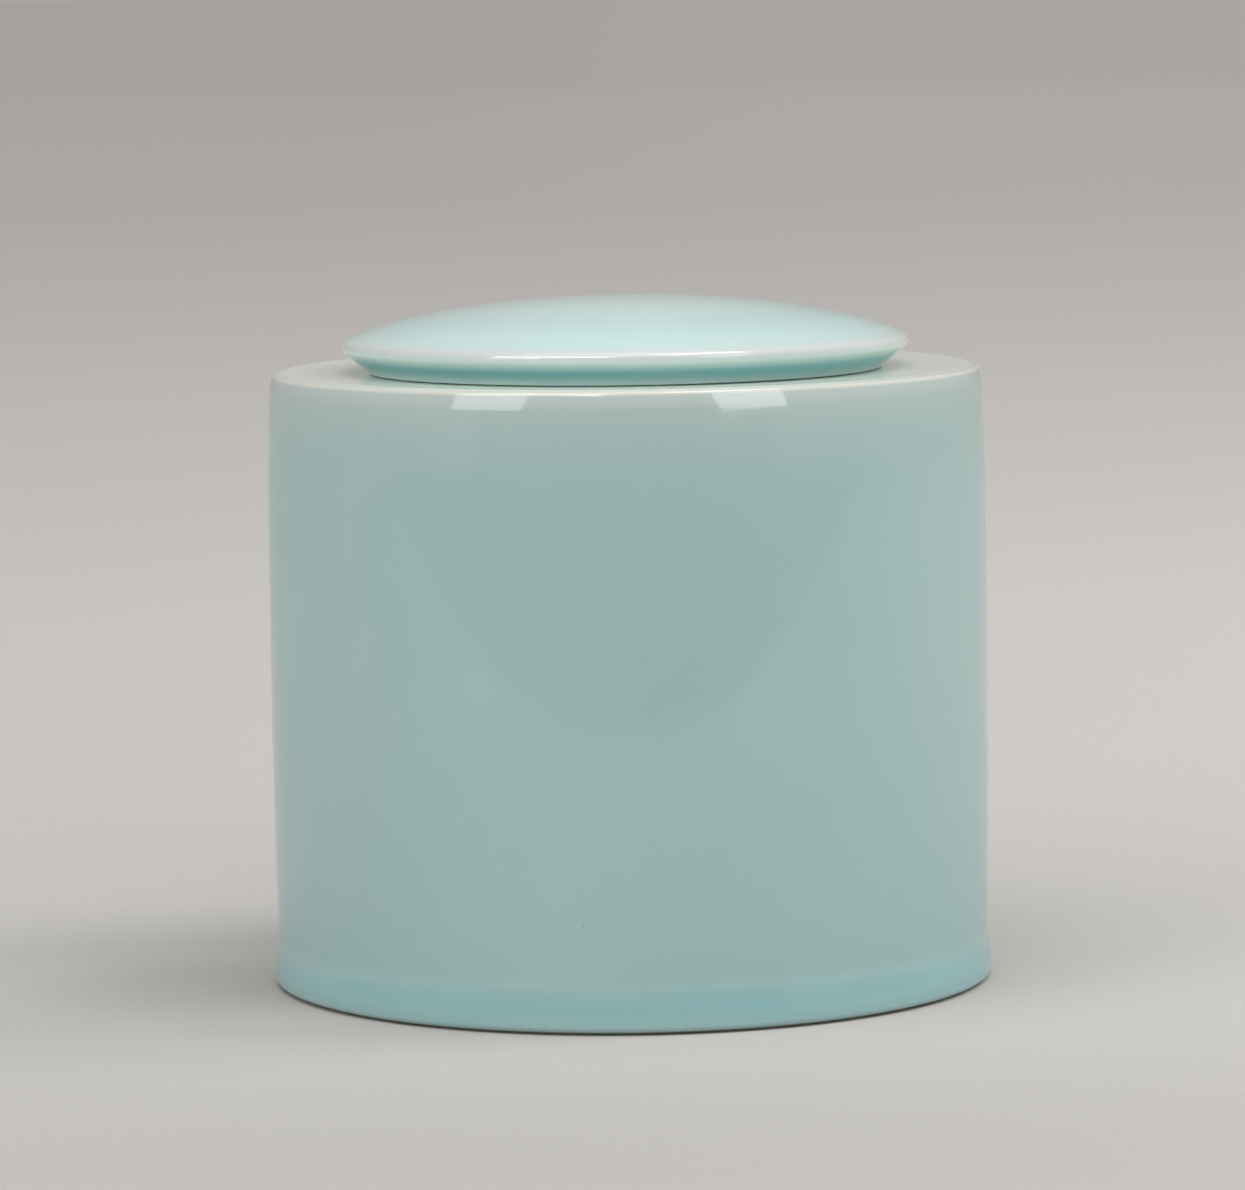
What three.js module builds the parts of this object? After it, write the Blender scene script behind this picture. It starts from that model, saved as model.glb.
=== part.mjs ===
import * as THREE from "three";

// A lidded water jar in glazed porcelain: a straight-sided jar with a broad flat ledge round its mouth,
// and a shallow domed lid without a knob, which drops into the mouth by a flange.
// Millimetres, +Z up, the origin on the floor under the middle of the jar.

// Fineness of the turned surfaces
const TURN_STEPS = 80;
const QUARTER_STEPS = 3;
const STEP_PER_RADIUS = 6;
const FLARE_STEPS = 4;
const WALL_STEPS = 7;
const INNER_WALL_STEPS = 4;
const DOME_STEPS = 8;
const CEILING_STEPS = 6;
const EDGE_STEPS = 3;

// Jar, outside
const JAR_HEIGHT = 153.4;
const BELLY_RADIUS = 90.2;
const BELLY_HEIGHT = 72;
const SHOULDER_LEAN = 1.2;
const WAIST_DRAW = 0.9;
const TOE_FLARE = 1.25;
const TOE_FLARE_HEIGHT = 13;
const TOE_ROUND = 1.4;
const EDGE_LEAN = 0.65;
const EDGE_LEAN_HEIGHT = 3.9;
const EDGE_ROUND = 0.6;

// Jar, ledge and mouth
const LEDGE_WIDTH = 30.35;
const LEDGE_THICKNESS = 6.5;
const LEDGE_FALL = 1.2;
const MOUTH_ROUND = 1.6;

// Jar, inside and foot
const WALL_THICKNESS = 6;
const SHOULDER_FILLET = 7;
const FLOOR_THICKNESS = 7.5;
const FLOOR_FILLET = 12;
const FOOT_GAP = 0.7;
const FOOT_INSET = 2.6;
const FOOT_WIDTH = 7;
const FOOT_ROUND = 0.8;
const RECESS_DEPTH = 3;
const RECESS_FILLET = 2;

// Lid, outside
const SEAT_WIDTH = 6.4;
const SEAT_ROUND = 0.4;
const COVE_REACH = 1.2;
const COVE_RISE = 1.9;
const COVE_ROUND = 3;
const RIM_OVERHANG = 6.2;
const RIM_LIFT = 3.9;
const RIM_UNDER_ROUND = 2.8;
const RIM_FACE = 4.5;
const RIM_FLARE = 0.5;
const RIM_ROUND = 2.8;
const DOME_RISE = 9.85;
const DOME_EDGE_ANGLE = 21;

// Lid, underside
const LID_THICKNESS = 5.5;
const CEILING_FILLET = 4;
const FLANGE_DEPTH = 7;
const FLANGE_THICKNESS = 4;
const FLANGE_TAPER = 0.5;
const FLANGE_ROUND = 1.4;
const FLANGE_FILLET = 0.8;

// Fits of the lid in the jar
const LID_PLAY = 1.2;
const SEAT_GAP = 0.3;

// Shared sizes that follow from them
const rimRadius = BELLY_RADIUS - SHOULDER_LEAN - EDGE_LEAN;
const mouthRadius = rimRadius - LEDGE_WIDTH;
const seatHeight = JAR_HEIGHT + SEAT_GAP;
const degrees = THREE.MathUtils.degToRad;

// Radius of the jar's outer wall at a height: barrelled a little, drawn in above its flared toe,
// and turned in at the very top.
function wallRadius(height) {
  const toeTop = FOOT_GAP + TOE_ROUND;
  const above = Math.max(0, height - BELLY_HEIGHT) / (JAR_HEIGHT - BELLY_HEIGHT);
  const below = Math.max(0, BELLY_HEIGHT - height) / BELLY_HEIGHT;
  const upFlare = THREE.MathUtils.clamp((height - toeTop) / (TOE_FLARE_HEIGHT - toeTop), 0, 1);
  const flare = TOE_FLARE * (1 - upFlare ** 1.5);
  const upEdge = Math.max(0, height - JAR_HEIGHT + EDGE_LEAN_HEIGHT) / EDGE_LEAN_HEIGHT;
  const lean = SHOULDER_LEAN * above ** 4 + EDGE_LEAN * upEdge ** 1.5;
  return BELLY_RADIUS - lean - WAIST_DRAW * below ** 2 + flare;
}

// Points of a wall between two heights, closest together at both ends.
function wallPoints(from, to, steps, inset) {
  return Array.from({ length: steps + 1 }, (_, i) => {
    const height = THREE.MathUtils.lerp(from, to, (1 - Math.cos((Math.PI * i) / steps)) / 2);
    return [wallRadius(height) - inset, height];
  });
}

// Points of a circular arc, between two angles in radians.
function arc(centre, radius, from, to, steps) {
  return Array.from({ length: steps + 1 }, (_, i) => {
    const angle = THREE.MathUtils.lerp(from, to, i / steps);
    return [centre.x + radius * Math.cos(angle), centre.y + radius * Math.sin(angle)];
  });
}

// The arc that rounds one corner, tangent to the straight runs before and after it.
function roundedCorner(before, corner, after, rounding) {
  const back = before.clone().sub(corner);
  const ahead = after.clone().sub(corner);
  const half = Math.abs(back.angleTo(ahead)) / 2;
  const room = 0.95 * Math.min(back.length(), ahead.length()) * Math.tan(half);
  const radius = Math.min(rounding, room);
  back.normalize();
  ahead.normalize();
  const middle = back.clone().add(ahead).normalize();
  const centre = corner.clone().addScaledVector(middle, radius / Math.sin(half));
  const start = corner.clone().addScaledVector(back, radius / Math.tan(half)).sub(centre);
  const end = corner.clone().addScaledVector(ahead, radius / Math.tan(half)).sub(centre);
  const turn = Math.atan2(start.cross(end), start.dot(end));
  const quarterSteps = QUARTER_STEPS + radius / STEP_PER_RADIUS;
  const steps = Math.max(2, Math.round((Math.abs(turn) / degrees(90)) * quarterSteps));
  const from = Math.atan2(start.y, start.x);
  return arc(centre, radius, from, from + turn, steps);
}

// An outline from corners, each [radius from the axis, height, rounding].
function outlineOf(corners) {
  const places = corners.map(([radius, height]) => new THREE.Vector2(radius, height));
  return corners.flatMap(([radius, height, rounding], i) =>
    rounding ? roundedCorner(places[i - 1], places[i], places[i + 1], rounding) : [[radius, height]],
  );
}

// A solid turned about the upright axis: its outline runs from the axis below to the axis above.
function turned(name, outline, material) {
  const points = outline.map(([radius, height]) => new THREE.Vector2(radius, height));
  const geometry = new THREE.LatheGeometry(points, TURN_STEPS);
  geometry.rotateX(Math.PI / 2);
  const mesh = new THREE.Mesh(geometry, material);
  mesh.name = name;
  return mesh;
}

function glaze(color) {
  return new THREE.MeshStandardMaterial({ color, roughness: 0.1, metalness: 0 });
}

// Jar: a foot ring set in under the toe, the wall, the flat ledge with its mouth, and the inside.
function jarBody() {
  const toeRadius = wallRadius(FOOT_GAP);
  const ringOuter = toeRadius - TOE_ROUND - FOOT_INSET;
  const ringInner = ringOuter - FOOT_WIDTH;
  const flareTop = TOE_FLARE_HEIGHT;
  const edgeStart = JAR_HEIGHT - EDGE_LEAN_HEIGHT;
  const edgeEnd = JAR_HEIGHT - 1.5 * EDGE_ROUND;
  const ledgeUnderside = JAR_HEIGHT - LEDGE_THICKNESS;
  const shoulderHeight = ledgeUnderside - LEDGE_FALL;
  const floorHeight = RECESS_DEPTH + FLOOR_THICKNESS;
  const innerTop = shoulderHeight - 1.3 * SHOULDER_FILLET;
  const innerFoot = floorHeight + 1.3 * FLOOR_FILLET;
  return turned(
    "jar_body",
    outlineOf([
      [0, RECESS_DEPTH],
      [ringInner, RECESS_DEPTH, RECESS_FILLET],
      [ringInner, 0, FOOT_ROUND],
      [ringOuter, 0],
      [ringOuter, FOOT_GAP],
      [toeRadius, FOOT_GAP, TOE_ROUND],
      ...wallPoints(FOOT_GAP + 2 * TOE_ROUND, flareTop, FLARE_STEPS, 0),
      ...wallPoints(flareTop, edgeStart, WALL_STEPS, 0).slice(1),
      ...wallPoints(edgeStart, edgeEnd, EDGE_STEPS, 0).slice(1),
      [rimRadius, JAR_HEIGHT, EDGE_ROUND],
      [mouthRadius, JAR_HEIGHT, MOUTH_ROUND],
      [mouthRadius, ledgeUnderside, MOUTH_ROUND],
      [wallRadius(innerTop) - WALL_THICKNESS, shoulderHeight, SHOULDER_FILLET],
      ...wallPoints(innerTop, innerFoot, INNER_WALL_STEPS, WALL_THICKNESS),
      [wallRadius(innerFoot) - WALL_THICKNESS, floorHeight, FLOOR_FILLET],
      [0, floorHeight],
    ]),
    glaze(0xa9ccc8),
  );
}

// Lid: a dome with a blunt rounded rim, coved back under it to a flat seat, with a flange below.
function lid() {
  const flangeOuter = mouthRadius - LID_PLAY;
  const flangeInner = flangeOuter - FLANGE_THICKNESS;
  const flangeTip = JAR_HEIGHT - FLANGE_DEPTH;
  const seatRadius = mouthRadius + SEAT_WIDTH;
  const rimFoot = seatRadius + RIM_OVERHANG;
  const rimFootHeight = seatHeight + RIM_LIFT;
  const domeEdge = rimFoot + RIM_FLARE;
  const domeFoot = rimFootHeight + RIM_FACE;

  // The dome falls from the apex, and reaches the rim at its edge angle.
  const steep = (Math.tan(degrees(DOME_EDGE_ANGLE)) * domeEdge - 2 * DOME_RISE) / 4;
  const domeHeight = (radius) => {
    const share = radius / domeEdge;
    return domeFoot + DOME_RISE - (DOME_RISE - steep) * share ** 2 - steep * share ** 6;
  };
  const ceilingHeight = (radius) => domeHeight(radius) - LID_THICKNESS;
  const dome = Array.from({ length: DOME_STEPS + 1 }, (_, i) => {
    const radius = (domeEdge - 2 * RIM_ROUND) * (1 - i / DOME_STEPS);
    return [radius, domeHeight(radius)];
  });
  const ceiling = Array.from({ length: CEILING_STEPS }, (_, i) => {
    const radius = ((flangeInner - 1.5 * CEILING_FILLET) * i) / (CEILING_STEPS - 1);
    return [radius, ceilingHeight(radius)];
  });

  return turned(
    "lid",
    outlineOf([
      ...ceiling,
      [flangeInner, ceilingHeight(flangeInner), CEILING_FILLET],
      [flangeInner + FLANGE_TAPER, flangeTip, FLANGE_ROUND],
      [flangeOuter, flangeTip, FLANGE_ROUND],
      [flangeOuter, seatHeight, FLANGE_FILLET],
      [seatRadius, seatHeight, SEAT_ROUND],
      [seatRadius + COVE_REACH, seatHeight + COVE_RISE, COVE_ROUND],
      [rimFoot, rimFootHeight, RIM_UNDER_ROUND],
      [domeEdge, domeFoot, RIM_ROUND],
      ...dome,
    ]),
    glaze(0xb9d8d3),
  );
}

const vessel = new THREE.Group();
vessel.add(jarBody(), lid());

export default vessel;
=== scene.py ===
import math

import bmesh
import bpy
from mathutils import Matrix, Vector


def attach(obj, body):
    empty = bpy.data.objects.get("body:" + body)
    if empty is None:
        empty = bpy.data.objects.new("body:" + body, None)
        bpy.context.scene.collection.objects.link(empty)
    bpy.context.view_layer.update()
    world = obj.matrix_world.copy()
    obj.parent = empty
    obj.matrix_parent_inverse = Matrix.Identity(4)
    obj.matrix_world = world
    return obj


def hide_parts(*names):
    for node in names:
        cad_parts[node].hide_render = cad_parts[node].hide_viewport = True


# A lidded water jar in pale celadon porcelain: a straight-sided jar with a broad ledge round its mouth,
# and a shallow domed lid that drops into it.
# Metres, +Z up, the origin on the floor under the jar's middle.

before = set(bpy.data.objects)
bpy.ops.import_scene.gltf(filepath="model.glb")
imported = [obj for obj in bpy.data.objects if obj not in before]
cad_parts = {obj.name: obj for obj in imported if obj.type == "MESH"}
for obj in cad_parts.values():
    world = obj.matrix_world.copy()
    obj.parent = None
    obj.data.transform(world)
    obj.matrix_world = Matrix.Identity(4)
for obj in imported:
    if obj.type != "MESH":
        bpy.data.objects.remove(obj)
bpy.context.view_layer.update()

MM = 0.001

# How finely the pieces are turned
TURN_STEPS = 224
ARC_STEP = math.radians(9)
WALL_STEPS = 36
FLARE_STEPS = 14
EDGE_STEPS = 8
DOME_STEPS = 44

# Jar, outside
JAR_HEIGHT = 153.4 * MM
BELLY_RADIUS = 90.2 * MM
BELLY_HEIGHT = 72 * MM
SHOULDER_LEAN = 1.2 * MM
WAIST_DRAW = 0.9 * MM
TOE_FLARE = 1.24 * MM
TOE_FLARE_HEIGHT = 13 * MM
TOE_ROUND = 1.5 * MM
EDGE_LEAN = 0.65 * MM
EDGE_LEAN_HEIGHT = 3.9 * MM
EDGE_ROUND = 0.9 * MM
EDGE_LIFT = 0.22 * MM

# Jar, ledge and mouth
LEDGE_WIDTH = 30.35 * MM
LEDGE_THICKNESS = 6.5 * MM
LEDGE_FALL = 1.2 * MM
CREST_INSET = 2.75 * MM
CREST_LIFT = 0.62 * MM
CREST_ROUND = 6 * MM
DISH_ROUND = 60 * MM
MOUTH_ROUND = 1.6 * MM

# Jar, inside and foot
WALL_THICKNESS = 6 * MM
SHOULDER_FILLET = 7 * MM
FLOOR_THICKNESS = 7.5 * MM
FLOOR_FILLET = 12 * MM
FOOT_GAP = 0.6 * MM
FOOT_INSET = 1.9 * MM
FOOT_WIDTH = 7 * MM
FOOT_ROUND = 0.8 * MM
RECESS_DEPTH = 3 * MM
RECESS_FILLET = 2 * MM

# Lid, outside
SEAT_WIDTH = 6.4 * MM
SEAT_ROUND = 0.4 * MM
COVE_REACH = 0.9 * MM
COVE_RISE = 1 * MM
COVE_ROUND = 8 * MM
RIM_OVERHANG = 8.4 * MM
RIM_LIFT = 7 * MM
RIM_ROUND = 2 * MM
DOME_RISE = 11.2 * MM
DOME_EDGE_ANGLE = math.radians(25.8)

# Lid, underside
LID_THICKNESS = 5.5 * MM
CEILING_FILLET = 4 * MM
FLANGE_DEPTH = 7 * MM
FLANGE_THICKNESS = 4 * MM
FLANGE_TAPER = 0.5 * MM
FLANGE_ROUND = 1.4 * MM
FLANGE_FILLET = 0.8 * MM

# Fits of the lid in the jar
LID_PLAY = 1.2 * MM
SEAT_GAP = 0.3 * MM
SEAT_SETTLING = 0.14 * MM

# Shared sizes that follow from them
RIM_RADIUS = BELLY_RADIUS - SHOULDER_LEAN - EDGE_LEAN
MOUTH_RADIUS = RIM_RADIUS - LEDGE_WIDTH
SEAT_HEIGHT = JAR_HEIGHT + SEAT_GAP
SEAT_RADIUS = MOUTH_RADIUS + SEAT_WIDTH
DOME_EDGE = SEAT_RADIUS + RIM_OVERHANG
DOME_FOOT = SEAT_HEIGHT + RIM_LIFT


# Camera: far off and a little above the jar, looking slightly down, with a small roll
CAMERA_PLACE = Vector((0, -1.4781, 0.2482))
CAMERA_TILT = math.radians(84.138)
CAMERA_TURN = math.radians(0.057)
CAMERA_ROLL = math.radians(-0.808)
IMAGE_WIDTH = 1245
FOCAL_PIXELS = 5903


def set_camera():
    data = bpy.data.cameras.new("studio_camera")
    data.sensor_width = 36
    data.lens = data.sensor_width * FOCAL_PIXELS / IMAGE_WIDTH
    data.clip_start = 0.05
    data.clip_end = 400
    camera = bpy.data.objects.new("studio_camera", data)
    bpy.context.scene.collection.objects.link(camera)
    turn = Matrix.Rotation(CAMERA_TURN, 4, "Z")
    tilt = Matrix.Rotation(CAMERA_TILT, 4, "X")
    roll = Matrix.Rotation(CAMERA_ROLL, 4, "Z")
    camera.matrix_world = Matrix.Translation(CAMERA_PLACE) @ turn @ tilt @ roll
    bpy.context.scene.camera = camera


# Shaping with the modelling tools
def start_outline(name, radius, height):
    """A new piece that is only a point yet: a small plane, merged at its middle."""
    bpy.ops.object.select_all(action="DESELECT")
    bpy.ops.mesh.primitive_plane_add(size=2 * MM, location=(radius, 0, height))
    piece = bpy.context.object
    piece.name = name
    piece.data.name = name
    bpy.ops.object.transform_apply(location=True, rotation=True, scale=True)
    bpy.ops.object.mode_set(mode="EDIT")
    bpy.ops.mesh.select_mode(type="VERT")
    bpy.ops.mesh.select_all(action="SELECT")
    bpy.ops.mesh.merge(type="CENTER")
    return piece


def round_point(piece, radius, height, rounding):
    """Rounds one corner of the outline with a vertex bevel, from where the arc touches both runs."""
    mesh = bmesh.from_edit_mesh(piece.data)
    place = Vector((radius, 0, height))
    point = min(mesh.verts, key=lambda vert: (vert.co - place).length)
    for vert in mesh.verts:
        vert.select_set(vert is point)
    mesh.select_flush_mode()
    arms = [edge.other_vert(point).co - point.co for edge in point.link_edges]
    bmesh.update_edit_mesh(piece.data)
    corner = arms[0].angle(arms[1])
    reach = rounding / math.tan(corner / 2)
    room = 0.95 * min(arm.length for arm in arms)
    steps = max(4, round((math.pi - corner) / ARC_STEP))
    bpy.ops.mesh.bevel(
        offset_type="OFFSET",
        offset=min(reach, room),
        segments=steps,
        profile=0.5,
        affect="VERTICES",
        clamp_overlap=False,
    )


def draw_outline(name, corners):
    """Half a section, drawn point by point from the axis below to the axis above.
    A corner is [radius, height] or [radius, height, rounding]."""
    radius, height = corners[0][:2]
    piece = start_outline(name, radius, height)
    for corner in corners[1:]:
        move = (corner[0] - radius, 0, corner[1] - height)
        bpy.ops.mesh.extrude_vertices_move(TRANSFORM_OT_translate={"value": move})
        radius, height = corner[:2]
    for corner in corners:
        if len(corner) == 3:
            round_point(piece, *corner)
    return piece


def turn_outline(piece, crease_angle):
    """Spins the half section once round the upright axis into a closed solid, and smooths it."""
    bpy.ops.mesh.select_all(action="SELECT")
    bpy.ops.mesh.spin(steps=TURN_STEPS, angle=2 * math.pi, center=(0, 0, 0), axis=(0, 0, 1))
    bpy.ops.mesh.select_all(action="SELECT")
    bpy.ops.mesh.remove_doubles(threshold=0.01 * MM)
    bpy.ops.mesh.normals_make_consistent(inside=False)
    bpy.ops.object.mode_set(mode="OBJECT")
    bpy.ops.object.shade_smooth_by_angle(angle=crease_angle)


# Jar
def wall_radius(height):
    """Radius of the jar's outer wall: barrelled a little, flared at the toe, turned in at the top."""
    toe_top = FOOT_GAP + TOE_ROUND
    above = max(0, height - BELLY_HEIGHT) / (JAR_HEIGHT - BELLY_HEIGHT)
    below = max(0, BELLY_HEIGHT - height) / BELLY_HEIGHT
    up_flare = min(1, max(0, (height - toe_top) / (TOE_FLARE_HEIGHT - toe_top)))
    flare = TOE_FLARE * (1 - up_flare**2 * (3 - 2 * up_flare))
    up_edge = max(0, height - JAR_HEIGHT + EDGE_LEAN_HEIGHT) / EDGE_LEAN_HEIGHT
    lean = SHOULDER_LEAN * above**4 + EDGE_LEAN * up_edge**1.5
    return BELLY_RADIUS - lean - WAIST_DRAW * below**2 + flare


def wall_points(start, end, steps, inset):
    """Points up or down a wall, closest together at both ends."""
    points = []
    for step in range(steps + 1):
        share = (1 - math.cos(math.pi * step / steps)) / 2
        height = start + (end - start) * share
        points.append([wall_radius(height) - inset, height])
    return points


TOE_RADIUS = wall_radius(FOOT_GAP)
RING_OUTER = TOE_RADIUS - TOE_ROUND - FOOT_INSET
RING_INNER = RING_OUTER - FOOT_WIDTH
FLOOR_HEIGHT = RECESS_DEPTH + FLOOR_THICKNESS


def make_jar():
    ledge_underside = JAR_HEIGHT - LEDGE_THICKNESS
    shoulder_height = ledge_underside - LEDGE_FALL
    inner_top = shoulder_height - 1.3 * SHOULDER_FILLET
    inner_foot = FLOOR_HEIGHT + 1.3 * FLOOR_FILLET
    foot = [
        [0, RECESS_DEPTH],
        [RING_INNER, RECESS_DEPTH, RECESS_FILLET],
        [RING_INNER, 0, FOOT_ROUND],
        [RING_OUTER, 0],
        [RING_OUTER, FOOT_GAP],
        [TOE_RADIUS, FOOT_GAP, TOE_ROUND],
    ]
    flare = wall_points(FOOT_GAP + 2 * TOE_ROUND, TOE_FLARE_HEIGHT, FLARE_STEPS, 0)
    edge_start = JAR_HEIGHT - EDGE_LEAN_HEIGHT
    wall = wall_points(TOE_FLARE_HEIGHT, edge_start, WALL_STEPS, 0)
    edge = wall_points(edge_start, JAR_HEIGHT - 1.5 * EDGE_ROUND, EDGE_STEPS, 0)
    ledge = [
        [RIM_RADIUS, JAR_HEIGHT + EDGE_LIFT, EDGE_ROUND],
        [RIM_RADIUS - CREST_INSET, JAR_HEIGHT + CREST_LIFT, CREST_ROUND],
        [SEAT_RADIUS + 2 * MM, JAR_HEIGHT, DISH_ROUND],
        [MOUTH_RADIUS, JAR_HEIGHT, MOUTH_ROUND],
        [MOUTH_RADIUS, ledge_underside, MOUTH_ROUND],
        [wall_radius(inner_top) - WALL_THICKNESS, shoulder_height, SHOULDER_FILLET],
    ]
    inside = wall_points(inner_top, inner_foot, WALL_STEPS // 2, WALL_THICKNESS)
    floor = [
        [wall_radius(inner_foot) - WALL_THICKNESS, FLOOR_HEIGHT, FLOOR_FILLET],
        [0, FLOOR_HEIGHT],
    ]
    jar = draw_outline("celadon_jar", foot + flare + wall[1:] + edge[1:] + ledge + inside + floor)
    turn_outline(jar, math.radians(40))
    return jar


# Lid
def make_lid():
    flange_outer = MOUTH_RADIUS - LID_PLAY
    flange_inner = flange_outer - FLANGE_THICKNESS
    flange_tip = JAR_HEIGHT - FLANGE_DEPTH

    # The dome falls from the apex, and reaches its edge at the edge angle.
    steep = (math.tan(DOME_EDGE_ANGLE) * DOME_EDGE - 2 * DOME_RISE) / 4

    def dome_height(radius):
        share = radius / DOME_EDGE
        return DOME_FOOT + DOME_RISE - (DOME_RISE - steep) * share**2 - steep * share**6

    dome = []
    for step in range(DOME_STEPS + 1):
        radius = (DOME_EDGE - 2 * RIM_ROUND) * (1 - step / DOME_STEPS)
        dome.append([radius, dome_height(radius)])
    ceiling = []
    ceiling_edge = flange_inner - 1.5 * CEILING_FILLET
    ceiling_steps = DOME_STEPS // 2
    for step in range(ceiling_steps + 1):
        radius = ceiling_edge * step / ceiling_steps
        ceiling.append([radius, dome_height(radius) - LID_THICKNESS])
    flange = [
        [flange_inner, dome_height(flange_inner) - LID_THICKNESS, CEILING_FILLET],
        [flange_inner + FLANGE_TAPER, flange_tip, FLANGE_ROUND],
        [flange_outer, flange_tip, FLANGE_ROUND],
        [flange_outer, SEAT_HEIGHT - SEAT_SETTLING, FLANGE_FILLET],
        [SEAT_RADIUS, SEAT_HEIGHT - SEAT_SETTLING, SEAT_ROUND],
        [SEAT_RADIUS + COVE_REACH, SEAT_HEIGHT + COVE_RISE, COVE_ROUND],
        [DOME_EDGE, DOME_FOOT, RIM_ROUND],
    ]
    lid = draw_outline("celadon_lid", ceiling + flange + dome)
    turn_outline(lid, math.radians(40))
    return lid


# Building materials
def add_node(tree, kind, inputs=None, **settings):
    """A node with its settings, and its inputs given as values or as other nodes' outputs."""
    node = tree.nodes.new(kind)
    count = len(tree.nodes)
    node.location = (count * 190, -(count % 4) * 230)
    for name, value in settings.items():
        setattr(node, name, value)
    for name, value in (inputs or {}).items():
        if isinstance(value, bpy.types.NodeSocket):
            tree.links.new(value, node.inputs[name])
        else:
            node.inputs[name].default_value = value
    return node


def calc(tree, operation, first, second=0.0, third=0.0):
    inputs = {0: first, 1: second, 2: third}
    return add_node(tree, "ShaderNodeMath", inputs, operation=operation).outputs[0]


def ramp_up(tree, value, low, high):
    """0 below low, 1 above high, smooth between them."""
    inputs = {"Value": value, "From Min": low, "From Max": high}
    node = add_node(tree, "ShaderNodeMapRange", inputs, interpolation_type="SMOOTHSTEP")
    return node.outputs["Result"]


def blend_colours(tree, share, first, second):
    inputs = {0: share, 6: first, 7: second}
    node = add_node(tree, "ShaderNodeMix", inputs, data_type="RGBA", clamp_factor=True)
    return node.outputs[2]


def new_group(name, inputs, outputs):
    """An empty node group. An input is (name, socket kind, value), an output (name, socket kind)."""
    tree = bpy.data.node_groups.new(name, "ShaderNodeTree")
    for label, kind, value in inputs:
        socket = tree.interface.new_socket(label, in_out="INPUT", socket_type=kind)
        socket.default_value = value
    for label, kind in outputs:
        tree.interface.new_socket(label, in_out="OUTPUT", socket_type=kind)
    entry = tree.nodes.new("NodeGroupInput")
    entry.location = (-200, 0)
    return tree, entry.outputs


def close_group(tree, results):
    exit_node = add_node(tree, "NodeGroupOutput")
    for name, socket in results.items():
        tree.links.new(socket, exit_node.inputs[name])


def surface_place(tree):
    return add_node(tree, "ShaderNodeTexCoord").outputs["Object"]


def radius_and_height(tree):
    """How far the surface point is from the upright axis, and how high."""
    parts = add_node(tree, "ShaderNodeSeparateXYZ", {0: surface_place(tree)}).outputs
    flat = add_node(tree, "ShaderNodeCombineXYZ", {"X": parts["X"], "Y": parts["Y"]}).outputs[0]
    radius = add_node(tree, "ShaderNodeVectorMath", {0: flat}, operation="LENGTH").outputs["Value"]
    return radius, parts["Z"]


def ring_nearness_group():
    """How near a point is to a ring round the axis: 1 on the ring, fading over the reach."""
    inputs = [
        ("Ring Radius", "NodeSocketFloat", 0.08),
        ("Ring Height", "NodeSocketFloat", 0.1),
        ("Reach", "NodeSocketFloat", 0.003),
    ]
    tree, entry = new_group("ring_nearness", inputs, [("Nearness", "NodeSocketFloat")])
    radius, height = radius_and_height(tree)
    across = calc(tree, "SUBTRACT", radius, entry["Ring Radius"])
    up = calc(tree, "SUBTRACT", height, entry["Ring Height"])
    gap = add_node(tree, "ShaderNodeCombineXYZ", {"X": across, "Y": up}).outputs[0]
    distance = add_node(tree, "ShaderNodeVectorMath", {0: gap}, operation="LENGTH").outputs["Value"]
    share = calc(tree, "DIVIDE", distance, entry["Reach"])
    fading = calc(tree, "EXPONENT", calc(tree, "MULTIPLY", share, -1.0))
    close_group(tree, {"Nearness": fading})
    return tree


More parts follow.
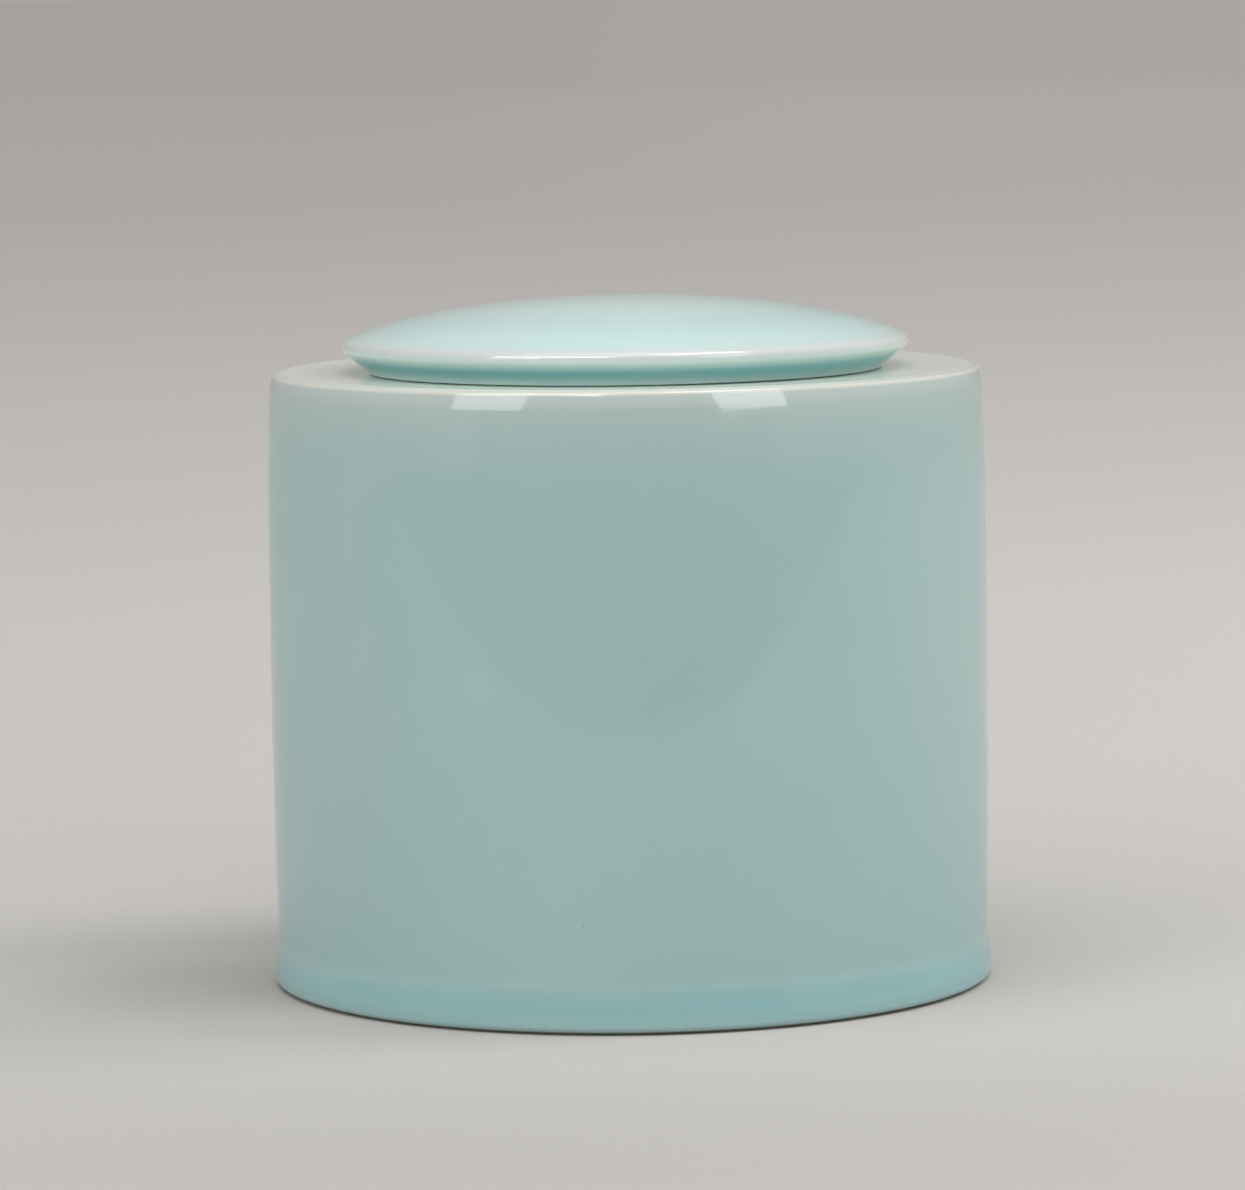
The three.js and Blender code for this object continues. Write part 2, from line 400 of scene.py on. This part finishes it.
def glaze_life_group():
    """What a fired glaze never lacks: uneven depth, faint runs, rare pinholes and a slow ripple."""
    inputs = [
        ("Cloud Scale", "NodeSocketFloat", 16.0),
        ("Run Amount", "NodeSocketFloat", 0.5),
        ("Pinhole Scale", "NodeSocketFloat", 90.0),
        ("Ripple Scale", "NodeSocketFloat", 26.0),
    ]
    outputs = [
        ("Depth", "NodeSocketFloat"),
        ("Pinholes", "NodeSocketFloat"),
        ("Ripple", "NodeSocketFloat"),
    ]
    tree, entry = new_group("glaze_life", inputs, outputs)
    place = surface_place(tree)

    cloud_inputs = {"Vector": place, "Scale": entry["Cloud Scale"], "Detail": 3.0, "Roughness": 0.55}
    clouds = add_node(tree, "ShaderNodeTexNoise", cloud_inputs).outputs["Fac"]
    fine_scale = calc(tree, "MULTIPLY", entry["Cloud Scale"], 9.0)
    fine_inputs = {"Vector": place, "Scale": fine_scale, "Detail": 2.0}
    fine = add_node(tree, "ShaderNodeTexNoise", fine_inputs).outputs["Fac"]
    stretched_inputs = {"Vector": place, "Scale": (1.0, 1.0, 0.07)}
    stretched = add_node(tree, "ShaderNodeMapping", stretched_inputs).outputs[0]
    run_inputs = {"Vector": stretched, "Scale": 110.0, "Detail": 2.0}
    runs = add_node(tree, "ShaderNodeTexNoise", run_inputs).outputs["Fac"]
    run_part = calc(tree, "MULTIPLY", calc(tree, "SUBTRACT", runs, 0.5), entry["Run Amount"])
    fine_part = calc(tree, "MULTIPLY_ADD", fine, 0.35, -0.175)
    cloud_part = calc(tree, "MULTIPLY_ADD", clouds, 1.6, -0.8)
    depth = calc(tree, "ADD", calc(tree, "ADD", cloud_part, fine_part), run_part)

    hole_inputs = {"Vector": place, "Scale": entry["Pinhole Scale"]}
    holes = add_node(tree, "ShaderNodeTexVoronoi", hole_inputs)
    dot = calc(tree, "SUBTRACT", 1.0, ramp_up(tree, holes.outputs["Distance"], 0.018, 0.034))
    chosen_by = add_node(tree, "ShaderNodeSeparateColor", {0: holes.outputs["Color"]}).outputs["Red"]
    chosen = calc(tree, "GREATER_THAN", chosen_by, 0.93)
    pinholes = calc(tree, "MULTIPLY", dot, chosen)

    swell_inputs = {"Vector": place, "Scale": entry["Ripple Scale"], "Detail": 1.0}
    swell = add_node(tree, "ShaderNodeTexNoise", swell_inputs).outputs["Fac"]
    flattened_inputs = {"Vector": place, "Scale": (0.04, 0.04, 1.0)}
    rings_place = add_node(tree, "ShaderNodeMapping", flattened_inputs).outputs[0]
    ring_inputs = {"Vector": rings_place, "Scale": 150.0, "Detail": 1.0}
    rings = add_node(tree, "ShaderNodeTexNoise", ring_inputs).outputs["Fac"]
    ripple = calc(tree, "MULTIPLY_ADD", rings, 0.2, swell)
    close_group(tree, {"Depth": depth, "Pinholes": pinholes, "Ripple": ripple})
    return tree


SPECK_TONE = (0.2, 0.26, 0.24, 1)
SPECK_SHARE = 0.5
POOLING_BY_DEPTH = 0.14
THINNING_BY_DEPTH = -0.05


def glaze_tint_group():
    """The glaze's colour by its thickness: pale where it thins, warm at an edge, deep in pools. Painted
    light rides on the same inputs: top light in the pale colour, a highlight on a ridge, shade and a
    reflection in the deep colour.
    """
    inputs = [
        ("Thin And Lit Color", "NodeSocketColor", (0.8, 0.8, 0.74, 1)),
        ("Edge Color", "NodeSocketColor", (0.7, 0.65, 0.61, 1)),
        ("Ridge And Highlight Color", "NodeSocketColor", (0.8, 0.78, 0.74, 1)),
        ("Full Color", "NodeSocketColor", (0.42, 0.62, 0.59, 1)),
        ("Pooled And Shaded Color", "NodeSocketColor", (0.2, 0.5, 0.48, 1)),
        ("Thin And Lit", "NodeSocketFloat", 0.0),
        ("Edge", "NodeSocketFloat", 0.0),
        ("Ridge And Highlight", "NodeSocketFloat", 0.0),
        ("Pooled And Shaded", "NodeSocketFloat", 0.0),
        ("Depth", "NodeSocketFloat", 0.0),
        ("Pinholes", "NodeSocketFloat", 0.0),
    ]
    tree, entry = new_group("glaze_tint", inputs, [("Color", "NodeSocketColor")])
    pooled_and_shaded_share = calc(tree, "MULTIPLY_ADD", entry["Depth"], POOLING_BY_DEPTH, entry["Pooled And Shaded"])
    thinner = calc(tree, "MULTIPLY_ADD", entry["Depth"], THINNING_BY_DEPTH, entry["Thin And Lit"])
    pooled_and_shaded = blend_colours(tree, pooled_and_shaded_share, entry["Full Color"], entry["Pooled And Shaded Color"])
    thinned = blend_colours(tree, thinner, pooled_and_shaded, entry["Thin And Lit Color"])
    edged = blend_colours(tree, entry["Edge"], thinned, entry["Edge Color"])
    ridged = blend_colours(tree, entry["Ridge And Highlight"], edged, entry["Ridge And Highlight Color"])
    speck_share = calc(tree, "MULTIPLY", entry["Pinholes"], SPECK_SHARE)
    specked = blend_colours(tree, speck_share, ridged, SPECK_TONE)
    close_group(tree, {"Color": specked})
    return tree


BARE_TONE = (0.71, 0.68, 0.61, 1)
BARE_TOASTED = (0.62, 0.55, 0.45, 1)
BARE_GRAIN = (0.5, 0.47, 0.41, 1)


def bare_body_group():
    """Unglazed porcelain: warm white, matt, with a fine sandy grain and faint kiln toning."""
    inputs = [("Grain Scale", "NodeSocketFloat", 900.0)]
    outputs = [
        ("Color", "NodeSocketColor"),
        ("Roughness", "NodeSocketFloat"),
        ("Grain", "NodeSocketFloat"),
    ]
    tree, entry = new_group("bare_body", inputs, outputs)
    place = surface_place(tree)
    grain_inputs = {"Vector": place, "Scale": entry["Grain Scale"], "Detail": 3.0}
    grain = add_node(tree, "ShaderNodeTexNoise", grain_inputs).outputs["Fac"]
    tone_inputs = {"Vector": place, "Scale": 35.0, "Detail": 3.0}
    tone = add_node(tree, "ShaderNodeTexNoise", tone_inputs).outputs["Fac"]
    toned = blend_colours(tree, ramp_up(tree, tone, 0.35, 0.75), BARE_TONE, BARE_TOASTED)
    grained = blend_colours(tree, ramp_up(tree, grain, 0.55, 0.75), toned, BARE_GRAIN)
    roughness = calc(tree, "MULTIPLY_ADD", grain, 0.2, 0.55)
    close_group(tree, {"Color": grained, "Roughness": roughness, "Grain": grain})
    return tree


def use_group(tree, group, inputs=None):
    return add_node(tree, "ShaderNodeGroup", inputs, node_tree=group).outputs


def near_ring(tree, radius, height, reach):
    inputs = {"Ring Radius": radius, "Ring Height": height, "Reach": reach}
    return use_group(tree, RING_NEARNESS, inputs)["Nearness"]


def add_up(tree, *parts):
    """The sum of masks, each given as (strength, mask), kept from 0 to 1."""
    total = 0.0
    for strength, mask in parts:
        total = calc(tree, "MULTIPLY_ADD", mask, strength, total)
    return add_node(tree, "ShaderNodeClamp", {0: total}).outputs[0]


def band(tree, value, low, high, softness):
    """1 between two values, with soft edges."""
    rise = ramp_up(tree, value, low - softness, low + softness)
    fall = ramp_up(tree, value, high - softness, high + softness)
    return calc(tree, "SUBTRACT", rise, fall)


def both(tree, first, second):
    return calc(tree, "MULTIPLY", first, second)


RUN_AMOUNT = 0.4
GLAZE_ROUGHNESS = 0.055
ROUGHNESS_BY_DEPTH = 0.008
GLAZE_IOR = 1.5
SATIN_ROUGHNESS = 0.07
RIPPLE_DEPTH = 0.02
PINHOLE_DEPTH = 0.02
GRAIN_DEPTH = 0.06


def glazed_ware(name, colours, masks):
    """A glazed porcelain material. masks tells where its glaze is thin, pooled and so on, and where
    painted light and shade go into its colour.
    """
    material = bpy.data.materials.new(name)
    material.use_nodes = True
    tree = material.node_tree
    tree.nodes.clear()
    where = masks(tree)
    life = use_group(tree, GLAZE_LIFE, {"Run Amount": RUN_AMOUNT})
    tint_inputs = {
        "Thin And Lit Color": colours["thin_and_lit"],
        "Edge Color": colours["edge"],
        "Ridge And Highlight Color": colours["ridge_and_highlight"],
        "Full Color": colours["full"],
        "Pooled And Shaded Color": colours["pooled_and_shaded"],
        "Thin And Lit": where["thin_and_lit"],
        "Edge": where["edge"],
        "Ridge And Highlight": where["ridge_and_highlight"],
        "Pooled And Shaded": where["pooled_and_shaded"],
        "Depth": life["Depth"],
        "Pinholes": life["Pinholes"],
    }
    tint = use_group(tree, GLAZE_TINT, tint_inputs)["Color"]
    body = use_group(tree, BARE_BODY)
    colour = blend_colours(tree, where["bare"], tint, body["Color"])
    glaze_roughness = calc(tree, "MULTIPLY_ADD", life["Depth"], ROUGHNESS_BY_DEPTH, GLAZE_ROUGHNESS)
    dulled = calc(tree, "MULTIPLY_ADD", where["satin"], SATIN_ROUGHNESS, glaze_roughness)
    rough_inputs = {0: where["bare"], 2: dulled, 3: body["Roughness"]}
    roughness = add_node(tree, "ShaderNodeMix", rough_inputs, data_type="FLOAT").outputs[0]
    ripple = calc(tree, "MULTIPLY", life["Ripple"], RIPPLE_DEPTH)
    dented = calc(tree, "MULTIPLY_ADD", life["Pinholes"], -PINHOLE_DEPTH, ripple)
    grain = calc(tree, "MULTIPLY", both(tree, body["Grain"], where["bare"]), GRAIN_DEPTH)
    height = calc(tree, "ADD", dented, grain)
    bump_inputs = {"Height": height, "Distance": MM, "Strength": 1.0}
    bump = add_node(tree, "ShaderNodeBump", bump_inputs).outputs["Normal"]
    shader_inputs = {"Base Color": colour, "Roughness": roughness, "Normal": bump, "IOR": GLAZE_IOR}
    shader = add_node(tree, "ShaderNodeBsdfPrincipled", shader_inputs)
    add_node(tree, "ShaderNodeOutputMaterial", {"Surface": shader.outputs[0]})
    return material


def jar_masks(tree):
    radius, height = radius_and_height(tree)

    # Thin on the ledge and round the mouth, warm at the shoulder and the toe, creamy on the crest; the
    # ledge's paleness is also painted top light, the crest's cream also a painted highlight, the toe's
    # warmth also painted shade
    outside = ramp_up(tree, radius, 86 * MM, 88 * MM)
    ledge = both(tree, ramp_up(tree, height, JAR_HEIGHT - 0.9 * MM, JAR_HEIGHT - 0.1 * MM),
                 ramp_up(tree, radius, MOUTH_RADIUS, MOUTH_RADIUS + 3 * MM))
    # The ledge's paleness is thin glaze and painted light: the flat ledge faces the top light.
    thin_and_lit = add_up(
        tree,
        (1.0, ledge),
        (0.7, near_ring(tree, MOUTH_RADIUS + 0.5 * MM, JAR_HEIGHT - 0.5 * MM, 1.6 * MM)),
    )
    edge = add_up(
        tree,
        (0.48, both(tree, outside, near_ring(tree, RIM_RADIUS, JAR_HEIGHT, 8 * MM))),
        # Warm at the toe's edge, where the glaze thins; the tint also stands in for part of the shade
        # the floor casts on the toe.
        (0.2, near_ring(tree, TOE_RADIUS - 0.3 * MM, FOOT_GAP + 0.3 * MM, 1.4 * MM)),
    )
    # Creamy on the crest, where the glaze breaks white; the colour also paints in the highlight that the
    # rounded crest catches.
    ridge_and_highlight = both(tree, ramp_up(tree, height, JAR_HEIGHT - 0.75 * MM, JAR_HEIGHT),
                 ramp_up(tree, radius, RIM_RADIUS - 3.5 * MM, RIM_RADIUS - 0.8 * MM))

    # Pooled at the toe and in the corners of the inside and the recess; at the toe the deep colour is
    # also a painted reflection
    # The deep band above the foot is pooled glaze, and also a painted reflection.
    toe_pool_and_reflection = both(tree, outside, ramp_up(tree, height, 12 * MM, 7 * MM))
    pooled_and_shaded = add_up(
        tree,
        (0.43, toe_pool_and_reflection),
        (0.7, near_ring(tree, 80 * MM, FLOOR_HEIGHT + 3 * MM, 6 * MM)),
        (0.5, near_ring(tree, RING_INNER, RECESS_DEPTH, 3 * MM)),
    )

    # Wiped bare on the foot ring, and on the mouth where the lid rests
    ring = both(tree, band(tree, radius, RING_INNER - 0.2 * MM, RING_OUTER + 0.8 * MM, 0.15 * MM),
                ramp_up(tree, height, 1.3 * MM, 1.1 * MM))
    seat = both(tree, band(tree, radius, MOUTH_RADIUS - 1 * MM, SEAT_RADIUS - 3 * MM, 0.2 * MM),
                band(tree, height, JAR_HEIGHT - 5 * MM, JAR_HEIGHT + 1 * MM, 0.2 * MM))
    bare = add_up(tree, (1.0, ring), (1.0, seat))
    return {"thin_and_lit": thin_and_lit, "edge": edge, "ridge_and_highlight": ridge_and_highlight, "pooled_and_shaded": pooled_and_shaded, "bare": bare, "satin": ledge}


def lid_masks(tree):
    radius, height = radius_and_height(tree)

    # Warm on the rim, pooled under the rim, out on the dome and in the hollow's corner; under the rim
    # the deep colour is also painted shade
    edge = add_up(tree, (0.85, near_ring(tree, DOME_EDGE - 2.2 * MM, DOME_FOOT + 0.4 * MM, 2.4 * MM)))
    # Under the rim the deep colour is pooled glaze, and also painted shade where the overhang hides the
    # top light.
    under_rim = ramp_up(tree, height, SEAT_HEIGHT + 6.2 * MM, SEAT_HEIGHT + 2.8 * MM)
    above_seat = ramp_up(tree, height, SEAT_HEIGHT - 0.5 * MM, SEAT_HEIGHT + 3.2 * MM)
    outside = ramp_up(tree, radius, SEAT_RADIUS - 0.5 * MM, SEAT_RADIUS)
    pooled_and_shaded = add_up(
        tree,
        (0.9, both(tree, outside, both(tree, under_rim, above_seat))),
        (0.1, ramp_up(tree, radius, 28 * MM, 60 * MM)),
        (0.6, near_ring(tree, 50 * MM, SEAT_HEIGHT + 5 * MM, 4 * MM)),
    )

    # Wiped bare on the flange and the seat, and thin at the seat's edge
    under = ramp_up(tree, height, SEAT_HEIGHT + 0.3 * MM, SEAT_HEIGHT + 0.15 * MM)
    seat_band = band(tree, radius, MOUTH_RADIUS - LID_PLAY - 1.7 * MM, SEAT_RADIUS - 2.4 * MM, 0.3 * MM)
    bare = add_up(tree, (1.0, both(tree, under, seat_band)))
    thin_and_lit = add_up(tree, (0.3, near_ring(tree, SEAT_RADIUS + 0.3 * MM, SEAT_HEIGHT + 0.2 * MM, 0.5 * MM)))
    return {"thin_and_lit": thin_and_lit, "edge": edge, "ridge_and_highlight": 0.0, "pooled_and_shaded": pooled_and_shaded, "bare": bare, "satin": 0.0}


JAR_COLOURS = {
    "thin_and_lit": (0.76, 0.82, 0.73, 1),
    "edge": (0.64, 0.585, 0.55, 1),
    "ridge_and_highlight": (0.62, 0.65, 0.585, 1),
    "full": (0.358, 0.515, 0.503, 1),
    "pooled_and_shaded": (0.2, 0.445, 0.475, 1),
}
# The lid's glaze colours are paler than the jar's: the paleness is painted light, the top light that the
# lid's dome faces.
LID_COLOURS_TOP_LIT = {
    "thin_and_lit": (0.84, 0.86, 0.82, 1),
    "edge": (0.62, 0.6, 0.58, 1),
    "ridge_and_highlight": (0.62, 0.6, 0.58, 1),
    "full": (0.585, 0.765, 0.748, 1),
    "pooled_and_shaded": (0.145, 0.41, 0.43, 1),
}


# Stage
FLOOR_RADIUS = 300
# The paper's tone by distance from the jar, which also paints in how the studio light falls off over it:
# darker near the jar, brightest about two metres out, darker again far off.
FLOOR_TONES_AND_FALLOFF = [
    (0.0, (0.55, 0.525, 0.5, 1)),
    (0.2, (0.56, 0.54, 0.515, 1)),
    (0.35, (0.6, 0.575, 0.55, 1)),
    (0.9, (0.645, 0.62, 0.59, 1)),
    (2.1, (0.65, 0.625, 0.595, 1)),
    (3.3, (0.62, 0.59, 0.565, 1)),
    (5.5, (0.575, 0.545, 0.52, 1)),
    (12.0, (0.56, 0.53, 0.51, 1)),
    (14.0, (0.54, 0.51, 0.49, 1)),
]
# Painted shade on the floor: darker towards the left, away from the key light on the right, and darker
# towards the front.
SIDE_DRIFT = 0.6
SIDE_SHADE = 0.05
FRONT_START = 0.02
FRONT_END = -0.3
FRONT_SHADE = 0.19
# A painted shadow on the floor left of the jar, deepening the shadow the key light casts there.
PAINTED_SHADOW_PLACE = (-0.108, -0.014, 0)
PAINTED_SHADOW_INNER = 0.01
PAINTED_SHADOW_OUTER = 0.06
PAINTED_SHADOW_STRENGTH = 0.12
FIBRE_SHADE = 0.05
FIBRE_TONE = (0.3, 0.3, 0.29, 1)
BLACK = (0, 0, 0, 1)
DARK_REFLECTION_TONE = (0.03, 0.03, 0.03, 1)
SKY_LEVEL = 0.3
BACKGROUND = (0.395, 0.377, 0.36, 1)


def make_floor():
    bpy.ops.object.select_all(action="DESELECT")
    bpy.ops.mesh.primitive_circle_add(vertices=128, radius=FLOOR_RADIUS, fill_type="NGON")
    floor = bpy.context.object
    floor.name = "studio_floor"
    material = bpy.data.materials.new("floor_paper")
    material.use_nodes = True
    tree = material.node_tree
    tree.nodes.clear()
    place = surface_place(tree)
    radius, height = radius_and_height(tree)
    reach = FLOOR_TONES_AND_FALLOFF[-1][0]
    share = calc(tree, "DIVIDE", radius, reach)
    tones = add_node(tree, "ShaderNodeValToRGB", {0: share})
    stops = tones.color_ramp.elements
    while len(stops) < len(FLOOR_TONES_AND_FALLOFF):
        stops.new(0.5)
    for stop, (distance, tone) in zip(stops, FLOOR_TONES_AND_FALLOFF):
        stop.position = distance / reach
    for stop, (distance, tone) in zip(stops, FLOOR_TONES_AND_FALLOFF):
        stop.color = tone
    place_parts = add_node(tree, "ShaderNodeSeparateXYZ", {0: place}).outputs
    fibre_inputs = {"Vector": place, "Scale": 420.0, "Detail": 3.0}
    fibre = add_node(tree, "ShaderNodeTexNoise", fibre_inputs).outputs["Fac"]
    fibre_share = calc(tree, "MULTIPLY", ramp_up(tree, fibre, 0.3, 0.7), FIBRE_SHADE)
    # Painted shade: the floor darker towards the left and towards the front
    painted_left_shade = ramp_up(tree, place_parts["X"], SIDE_DRIFT, -SIDE_DRIFT)
    painted_front_shade = ramp_up(tree, place_parts["Y"], FRONT_START, FRONT_END)
    # A painted shadow beside the jar, fading out from its place
    gap_inputs = {0: place, 1: PAINTED_SHADOW_PLACE}
    gap = add_node(tree, "ShaderNodeVectorMath", gap_inputs, operation="DISTANCE").outputs["Value"]
    painted_shadow_by_jar = ramp_up(tree, gap, PAINTED_SHADOW_OUTER, PAINTED_SHADOW_INNER)
    colour = tones.outputs["Color"]
    for mask, strength in [(painted_left_shade, SIDE_SHADE), (painted_front_shade, FRONT_SHADE), (painted_shadow_by_jar, PAINTED_SHADOW_STRENGTH)]:
        colour = blend_colours(tree, calc(tree, "MULTIPLY", mask, strength), colour, BLACK)
    colour = blend_colours(tree, fibre_share, colour, FIBRE_TONE)
    shader = add_node(tree, "ShaderNodeBsdfDiffuse", {"Color": colour})
    add_node(tree, "ShaderNodeOutputMaterial", {"Surface": shader.outputs[0]})
    floor.data.materials.append(material)


def make_dark_reflection():
    """What the jar mirrors beyond the table's front edge: faintly glowing dark sheets, seen by glossy
    rays alone, a painted reflection of a dark room.
    """
    material = bpy.data.materials.new("dark_reflection")
    material.use_nodes = True
    tree = material.node_tree
    tree.nodes.clear()
    shader = add_node(tree, "ShaderNodeEmission", {"Color": DARK_REFLECTION_TONE, "Strength": 1.0})
    add_node(tree, "ShaderNodeOutputMaterial", {"Surface": shader.outputs[0]})
    sheets = [
        ("dark_reflection_floor", (0, -1.64, 0.002), (6, 2, 1), (0, 0, 0)),
        ("dark_reflection_wall", (0, -2.64, 0.5), (6, 1, 1), (math.pi / 2, 0, 0)),
    ]
    for name, place, scale, turn in sheets:
        bpy.ops.object.select_all(action="DESELECT")
        bpy.ops.mesh.primitive_plane_add(size=1, location=place, rotation=turn)
        sheet = bpy.context.object
        sheet.name = name
        sheet.scale = scale
        sheet.data.materials.append(material)
        sheet.visible_camera = False
        sheet.visible_diffuse = False
        sheet.visible_shadow = False
        sheet.visible_transmission = False


def make_world():
    world = bpy.data.worlds.new("studio_air")
    world.use_nodes = True
    tree = world.node_tree
    tree.nodes.clear()
    light_inputs = {"Color": (1, 1, 1, 1), "Strength": SKY_LEVEL}
    light = add_node(tree, "ShaderNodeBackground", light_inputs).outputs[0]
    seen_inputs = {"Color": BACKGROUND, "Strength": 1.0}
    seen = add_node(tree, "ShaderNodeBackground", seen_inputs).outputs[0]
    rays = add_node(tree, "ShaderNodeLightPath").outputs
    direct = calc(tree, "MAXIMUM", rays["Is Camera Ray"], rays["Is Glossy Ray"])
    shown = calc(tree, "MAXIMUM", direct, rays["Is Transmission Ray"])
    mixed = add_node(tree, "ShaderNodeMixShader", {0: shown, 1: light, 2: seen}).outputs[0]
    add_node(tree, "ShaderNodeOutputWorld", {"Surface": mixed})
    bpy.context.scene.world = world


# Lamps: name, place, width, height, radiance, and use: "light", "mirror" in the glaze, or "both"
LAMPS = [
    ("front_left_softbox", (-0.6, -0.64, 0.36), 0.36, 0.38, 3.6, "both"),
    ("front_right_softbox", (0.545, -0.67, 0.349), 0.34, 0.38, 4.2, "both"),
    ("high_left_softbox", (-0.54, -0.862, 0.9), 1, 0.42, 10.5, "mirror"),
    ("high_right_softbox", (0.48, -0.42, 1.3), 0.66, 0.4, 8.2, "mirror"),
    ("right_key_panel", (1.5, 0.1, 1.6), 0.9, 0.9, 5.6, "light"),
    ("left_fill_panel", (-1.5, -0.5, 0.8), 0.9, 0.9, 1.5, "light"),
]
AIM = Vector((0, 0, 0.1))
CEILING_LIGHT = 0.46
CEILING_SPREAD = math.radians(60)
CEILING_LEAN = math.radians(12)


def make_lamps():
    for name, place, width, height, radiance, use in LAMPS:
        data = bpy.data.lights.new(name, "AREA")
        data.shape = "RECTANGLE"
        data.size = width
        data.size_y = height
        data.energy = radiance * math.pi * width * height
        lamp = bpy.data.objects.new(name, data)
        bpy.context.scene.collection.objects.link(lamp)
        lamp.location = place
        lamp.rotation_mode = "QUATERNION"
        lamp.rotation_quaternion = (Vector(place) - AIM).to_track_quat("Z", "Y")
        lamp.visible_camera = False
        lamp.visible_diffuse = use != "mirror"
        lamp.visible_glossy = use != "light"

    # The ceiling's even light, which reaches all of the floor alike
    data = bpy.data.lights.new("ceiling_light", "SUN")
    data.energy = CEILING_LIGHT * math.pi
    data.angle = CEILING_SPREAD
    lamp = bpy.data.objects.new("ceiling_light", data)
    bpy.context.scene.collection.objects.link(lamp)
    lamp.rotation_euler = (CEILING_LEAN, 0, 0)
    lamp.visible_camera = False


# Making and finishing
set_camera()
make_world()
make_floor()
make_dark_reflection()
make_lamps()

RING_NEARNESS = ring_nearness_group()
GLAZE_LIFE = glaze_life_group()
GLAZE_TINT = glaze_tint_group()
BARE_BODY = bare_body_group()

jar = make_jar()
jar.data.materials.append(glazed_ware("jar_celadon_glaze", JAR_COLOURS, jar_masks))
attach(jar, "jar")
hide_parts("jar_body")

lid = make_lid()
lid.data.materials.append(glazed_ware("lid_celadon_glaze_top_lit", LID_COLOURS_TOP_LIT, lid_masks))
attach(lid, "lid")
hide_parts("lid")

scene = bpy.context.scene
scene.view_settings.view_transform = "Standard"
